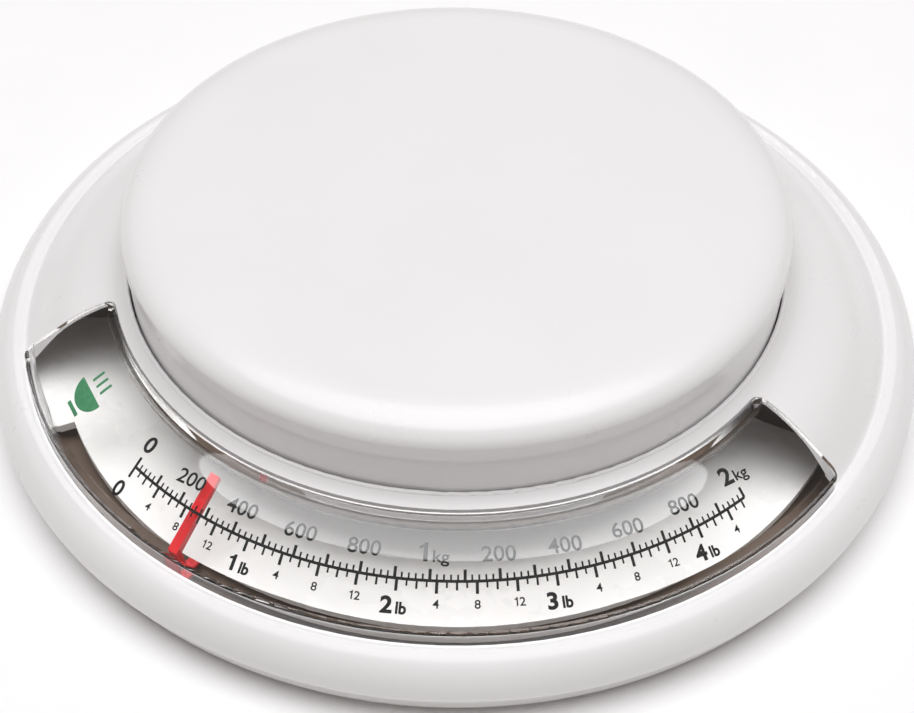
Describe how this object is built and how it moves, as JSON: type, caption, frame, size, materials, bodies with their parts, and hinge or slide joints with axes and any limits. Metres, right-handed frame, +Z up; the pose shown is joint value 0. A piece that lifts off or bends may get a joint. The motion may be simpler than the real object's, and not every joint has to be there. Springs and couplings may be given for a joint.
{
  "type": "kitchen scale",
  "caption": "Round mechanical kitchen scale with a pressed-down platform, a domed housing and a curved front window over a swinging pointer.",
  "frame": {"origin": "centre of the base, on the table under the feet", "axes": "+Z up, -Y towards the window and the person reading it, +X to that person's right"},
  "size_m": [0.22, 0.22, 0.0485],
  "materials": {
    "white_gloss": "glossy white moulded plastic",
    "window_clear": "clear polystyrene with printed weight marks",
    "dial_white": "smooth off-white plastic",
    "pointer_red": "red plastic",
    "steel": "zinc-plated sheet steel",
    "spring_steel": "spring steel wire",
    "brass": "turned brass",
    "acetal": "natural acetal",
    "grey_plastic": "grey plastic",
    "rubber": "soft light grey rubber"
  },
  "bodies": {
    "housing": {"base_shell": "white_gloss", "rubber_feet": "rubber", "housing_shell": "white_gloss", "housing_screws": "steel", "window_cover": "window_clear", "dial_plate": "dial_white", "mechanism_frame": "steel", "frame_screws": "steel", "frame_pins": "steel", "spindle_bush": "brass", "rack_guides": "acetal", "spring_cup": "acetal", "zero_nut": "acetal", "main_springs": "spring_steel"},
    "platform": {"weighing_plate": "white_gloss", "platform_skirt": "white_gloss", "platform_carrier": "steel", "carrier_screws": "steel", "carrier_pins": "steel"},
    "upper_lever": {"upper_lever": "steel", "drive_pin": "steel"},
    "lower_lever": {"lower_lever": "steel"},
    "rack": {"rack_bar": "acetal"},
    "pointer": {"pinion": "brass", "pointer_shaft": "steel", "pointer_hub": "acetal", "pointer_arm": "pointer_red", "pointer_tip": "pointer_red"},
    "zero_wheel": {"zero_wheel": "grey_plastic", "zero_screw": "steel"}
  },
  "joints": [
    {"name": "platform_slide", "type": "slide", "parent": "housing", "child": "platform", "axis": [0, 0, -1], "range_m": [-0.00071, 0.00529], "stiffness_N_per_m": 3270, "springref_m": -0.00049, "deforming": ["main_springs"]},
    {"name": "upper_lever_hinge", "type": "hinge", "parent": "housing", "child": "upper_lever", "pos_m": [0, 0.034, 0.0305], "axis": [1, 0, 0], "range_deg": [-1.02, 7.59]},
    {"name": "lower_lever_hinge", "type": "hinge", "parent": "housing", "child": "lower_lever", "pos_m": [0, 0.034, 0.019], "axis": [1, 0, 0], "range_deg": [-1.02, 7.59]},
    {"name": "rack_slide", "type": "slide", "parent": "housing", "child": "rack", "axis": [0, 1, 0], "range_m": [-0.00027, 0.002]},
    {"name": "pointer_hinge", "type": "hinge", "parent": "housing", "child": "pointer", "pos_m": [0, 0, 0.0049], "axis": [0, 0, 1], "range_deg": [-10.32, 76.4]},
    {"name": "zero_adjust", "type": "hinge", "parent": "housing", "child": "zero_wheel", "pos_m": [0.047, 0.012, 0.003], "axis": [0, 0, 1], "range_deg": [-180, 180]}
  ],
  "couplings": [
    {"joint": "upper_lever_hinge", "follows": "platform_slide", "rad_per_m": 25},
    {"joint": "lower_lever_hinge", "follows": "platform_slide", "rad_per_m": 25},
    {"joint": "rack_slide", "follows": "platform_slide", "ratio": 0.3775},
    {"joint": "pointer_hinge", "follows": "platform_slide", "rad_per_m": 251.76}
  ]
}
